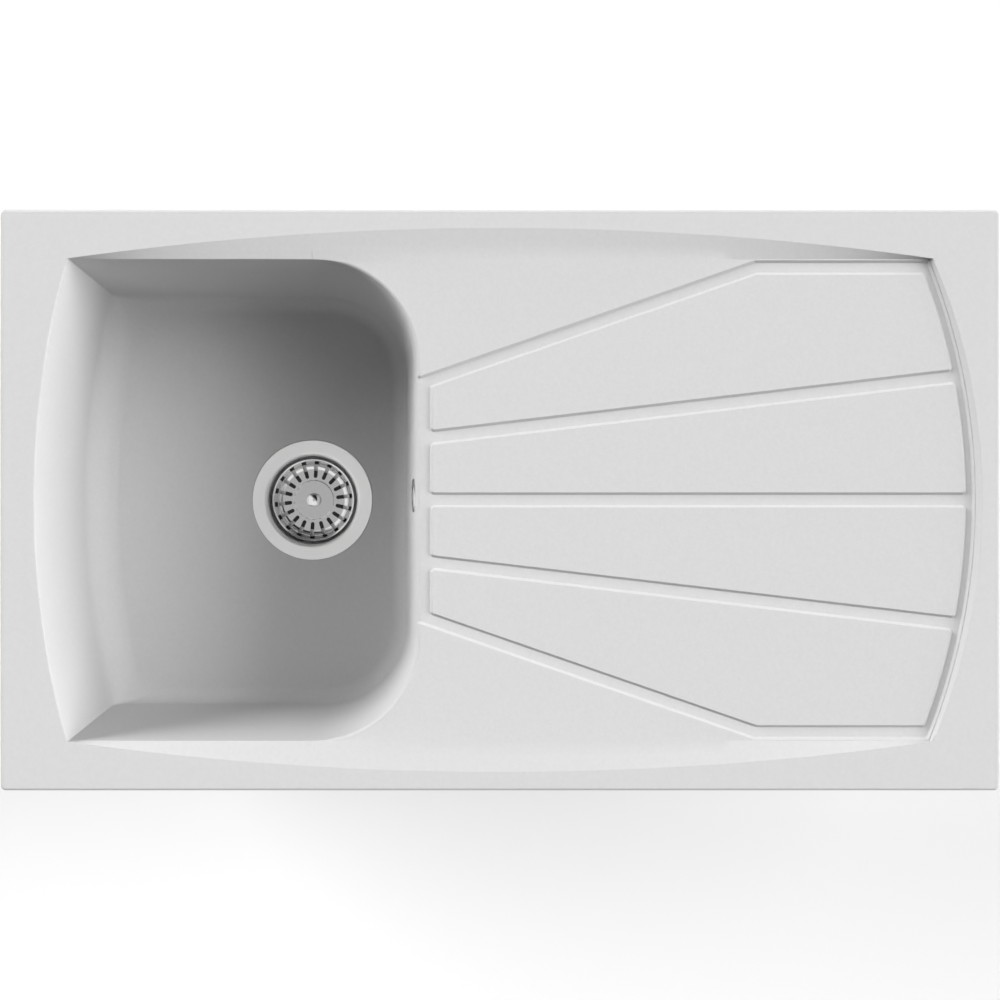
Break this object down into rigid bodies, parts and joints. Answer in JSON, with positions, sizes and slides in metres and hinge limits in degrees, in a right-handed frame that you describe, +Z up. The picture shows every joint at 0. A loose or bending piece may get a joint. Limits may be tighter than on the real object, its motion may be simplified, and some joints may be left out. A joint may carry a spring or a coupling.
{
  "type": "inset kitchen sink",
  "caption": "Inset stone-composite kitchen sink with a deep bowl, a ribbed drainer in a bowed recess, a basket waste with overflow and swing-out worktop clips.",
  "frame": {"origin": "middle of the rim's outline, on the worktop plane that the rim rests on", "axes": "+X from the bowl to the drainer, +Y to the back, +Z up"},
  "size_m": [0.86, 0.5, 0.283],
  "materials": {
    "composite": "matte",
    "foam": "matte",
    "satin_steel": "satin",
    "polished_steel": "polished",
    "zinc_steel": "satin",
    "brass": "satin",
    "rubber": "matte",
    "plastic": "satin"
  },
  "bodies": {
    "sink": {"sink_body": "composite", "rim_seal": "foam", "waste_flange": "satin_steel", "overflow_cover": "polished_steel", "overflow_screw": "polished_steel", "waste_screw": "satin_steel", "waste_insert": "brass", "clip_inserts": "brass", "flange_gasket": "rubber", "lower_gasket": "rubber", "overflow_gasket": "rubber", "upper_pipe_seal": "rubber", "lower_pipe_seal": "rubber", "waste_body": "plastic", "overflow_elbow": "plastic", "overflow_pipe": "plastic", "upper_pipe_nut": "plastic", "lower_pipe_nut": "plastic", "clip_screws": "zinc_steel"},
    "basket": {"strainer_basket": "polished_steel", "basket_knob": "polished_steel", "stopper_seal": "rubber", "stopper_washer": "satin_steel", "stopper_nut": "satin_steel"},
    "clip_1": {"clip_hook_1": "zinc_steel"},
    "clip_2": {"clip_hook_2": "zinc_steel"},
    "clip_3": {"clip_hook_3": "zinc_steel"},
    "clip_4": {"clip_hook_4": "zinc_steel"},
    "clip_5": {"clip_hook_5": "zinc_steel"},
    "clip_6": {"clip_hook_6": "zinc_steel"},
    "clip_7": {"clip_hook_7": "zinc_steel"},
    "clip_8": {"clip_hook_8": "zinc_steel"}
  },
  "joints": [
    {"name": "basket_lift", "type": "slide", "parent": "sink", "child": "basket", "axis": [0, 0, 1], "range_m": [0, 0.26]},
    {"name": "clip_1_swing", "type": "hinge", "parent": "sink", "child": "clip_1", "pos_m": [-0.345, 0.227, -0.045], "axis": [0, 0, 1], "range_deg": [0, 90]},
    {"name": "clip_2_swing", "type": "hinge", "parent": "sink", "child": "clip_2", "pos_m": [-0.118, 0.227, -0.045], "axis": [0, 0, 1], "range_deg": [0, 90]},
    {"name": "clip_3_swing", "type": "hinge", "parent": "sink", "child": "clip_3", "pos_m": [0.118, 0.227, -0.045], "axis": [0, 0, 1], "range_deg": [0, 90]},
    {"name": "clip_4_swing", "type": "hinge", "parent": "sink", "child": "clip_4", "pos_m": [0.345, 0.227, -0.045], "axis": [0, 0, 1], "range_deg": [0, 90]},
    {"name": "clip_5_swing", "type": "hinge", "parent": "sink", "child": "clip_5", "pos_m": [0.345, -0.227, -0.045], "axis": [0, 0, 1], "range_deg": [0, 90]},
    {"name": "clip_6_swing", "type": "hinge", "parent": "sink", "child": "clip_6", "pos_m": [0.118, -0.227, -0.045], "axis": [0, 0, 1], "range_deg": [0, 90]},
    {"name": "clip_7_swing", "type": "hinge", "parent": "sink", "child": "clip_7", "pos_m": [-0.118, -0.227, -0.045], "axis": [0, 0, 1], "range_deg": [0, 90]},
    {"name": "clip_8_swing", "type": "hinge", "parent": "sink", "child": "clip_8", "pos_m": [-0.345, -0.227, -0.045], "axis": [0, 0, 1], "range_deg": [0, 90]}
  ]
}
